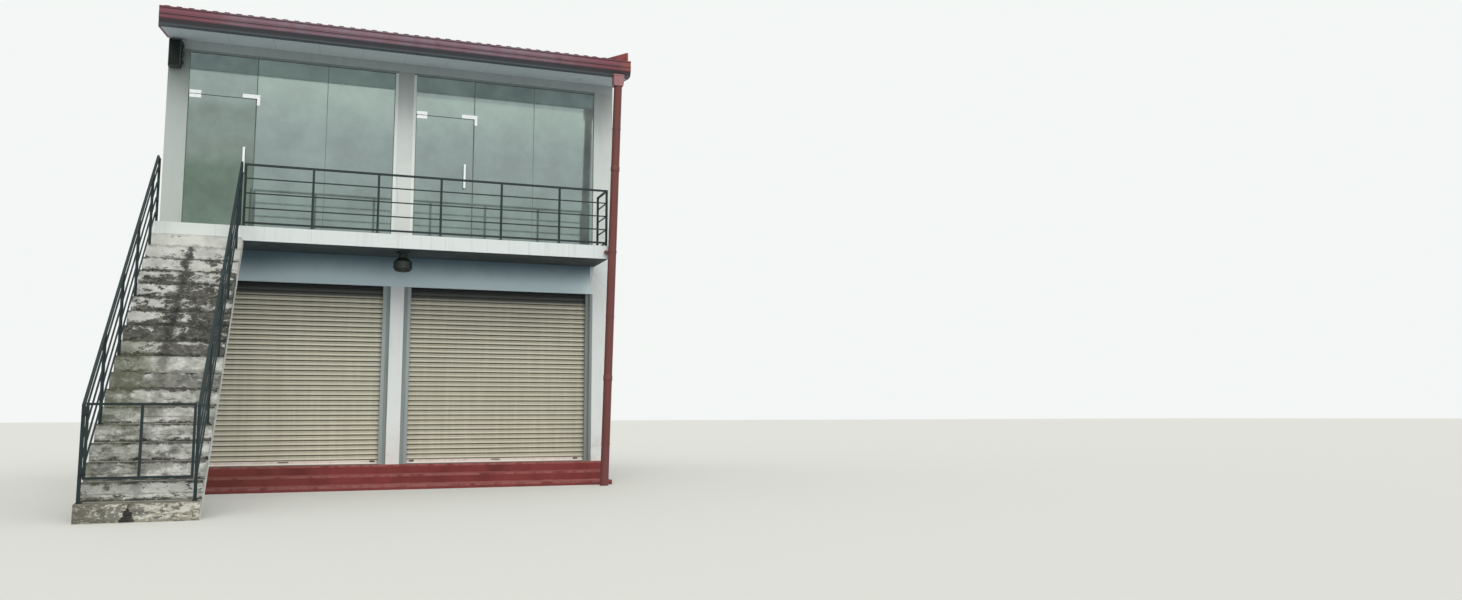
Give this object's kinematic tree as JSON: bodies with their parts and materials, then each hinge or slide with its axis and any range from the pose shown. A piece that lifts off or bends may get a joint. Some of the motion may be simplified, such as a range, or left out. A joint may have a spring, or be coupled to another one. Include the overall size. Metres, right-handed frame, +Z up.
{
  "type": "two-storey shop building",
  "caption": "Two-storey shop building: shuttered shops below, glass shop fronts above behind a railed balcony, outside concrete stair with a gate, lean-to metal roof.",
  "frame": {"origin": "on the ground, under the street face of the front wall, on the line of the centre pier", "axes": "+Z up; the street front looks towards -Y, so +Y runs into the building; +X is to the right seen from the street"},
  "size_m": [6.545, 11.3538, 8.2961],
  "materials": {
    "ground_slab": "cast concrete",
    "front_steps": "red cement screed, worn",
    "left_wall": "painted render",
    "right_wall": "painted render",
    "rear_wall": "painted render",
    "rear_window_frames": "powder coated",
    "rear_window_glass": "clear",
    "lower_left_pier": "painted render",
    "lower_centre_pier": "painted render",
    "lower_right_pier": "painted render",
    "shutter_header": "blue-grey paint",
    "shutter_guides": "blue-grey paint",
    "shutter_left": "cream paint, dusty",
    "shutter_right": "cream paint, dusty",
    "shutter_bottom_bars": "pale cream paint",
    "first_floor_slab": "painted concrete",
    "upper_left_pier": "painted render",
    "upper_centre_pier": "painted render",
    "upper_right_pier": "painted render",
    "upper_beam": "painted render",
    "glass_channels": "powder coated white",
    "shop_glass_left": "toughened, reflecting",
    "shop_glass_right": "toughened, reflecting",
    "glass_door_left": "toughened, reflecting",
    "glass_door_right": "toughened, reflecting",
    "door_fittings": "satin",
    "eaves_soffit": "white paint",
    "roof_rafters": "primer",
    "roof_purlins": "sawn",
    "roof_sheets": "maroon coating",
    "front_gutter": "maroon coating",
    "barge_flashings": "red coating",
    "rear_fascia": "red coating",
    "rainwater_head": "faded red coating",
    "downpipe": "dark red paint",
    "stair_slab": "cast concrete, weathered",
    "stair_steps": "cement screed, weathered",
    "balustrade_left": "dark grey paint",
    "balustrade_right": "dark grey paint",
    "stair_gate": "dark grey paint",
    "balcony_railing": "dark grey paint",
    "wall_floodlight": "black paint",
    "slab_lamp": "black paint",
    "soffit_lamp": "white"
  },
  "bodies": {
    "root": {"ground_slab": "ground_slab", "front_steps": "front_steps", "left_wall": "left_wall", "right_wall": "right_wall", "rear_wall": "rear_wall", "rear_window_frames": "rear_window_frames", "rear_window_glass": "rear_window_glass", "lower_left_pier": "lower_left_pier", "lower_centre_pier": "lower_centre_pier", "lower_right_pier": "lower_right_pier", "shutter_header": "shutter_header", "shutter_guides": "shutter_guides", "shutter_left": "shutter_left", "shutter_right": "shutter_right", "shutter_bottom_bars": "shutter_bottom_bars", "first_floor_slab": "first_floor_slab", "upper_left_pier": "upper_left_pier", "upper_centre_pier": "upper_centre_pier", "upper_right_pier": "upper_right_pier", "upper_beam": "upper_beam", "glass_channels": "glass_channels", "shop_glass_left": "shop_glass_left", "shop_glass_right": "shop_glass_right", "glass_door_left": "glass_door_left", "glass_door_right": "glass_door_right", "door_fittings": "door_fittings", "eaves_soffit": "eaves_soffit", "roof_rafters": "roof_rafters", "roof_purlins": "roof_purlins", "roof_sheets": "roof_sheets", "front_gutter": "front_gutter", "barge_flashings": "barge_flashings", "rear_fascia": "rear_fascia", "rainwater_head": "rainwater_head", "downpipe": "downpipe", "stair_slab": "stair_slab", "stair_steps": "stair_steps", "balustrade_left": "balustrade_left", "balustrade_right": "balustrade_right", "balcony_railing": "balcony_railing", "wall_floodlight": "wall_floodlight", "slab_lamp": "slab_lamp", "soffit_lamp": "soffit_lamp"},
    "gate": {"stair_gate": "stair_gate"}
  },
  "joints": [
    {"name": "gate_hinge", "type": "hinge", "parent": "root", "child": "gate", "pos_m": [-3.112, -4.57825, 0.7875], "axis": [0, 0, -1], "range_deg": [0, 90]}
  ]
}
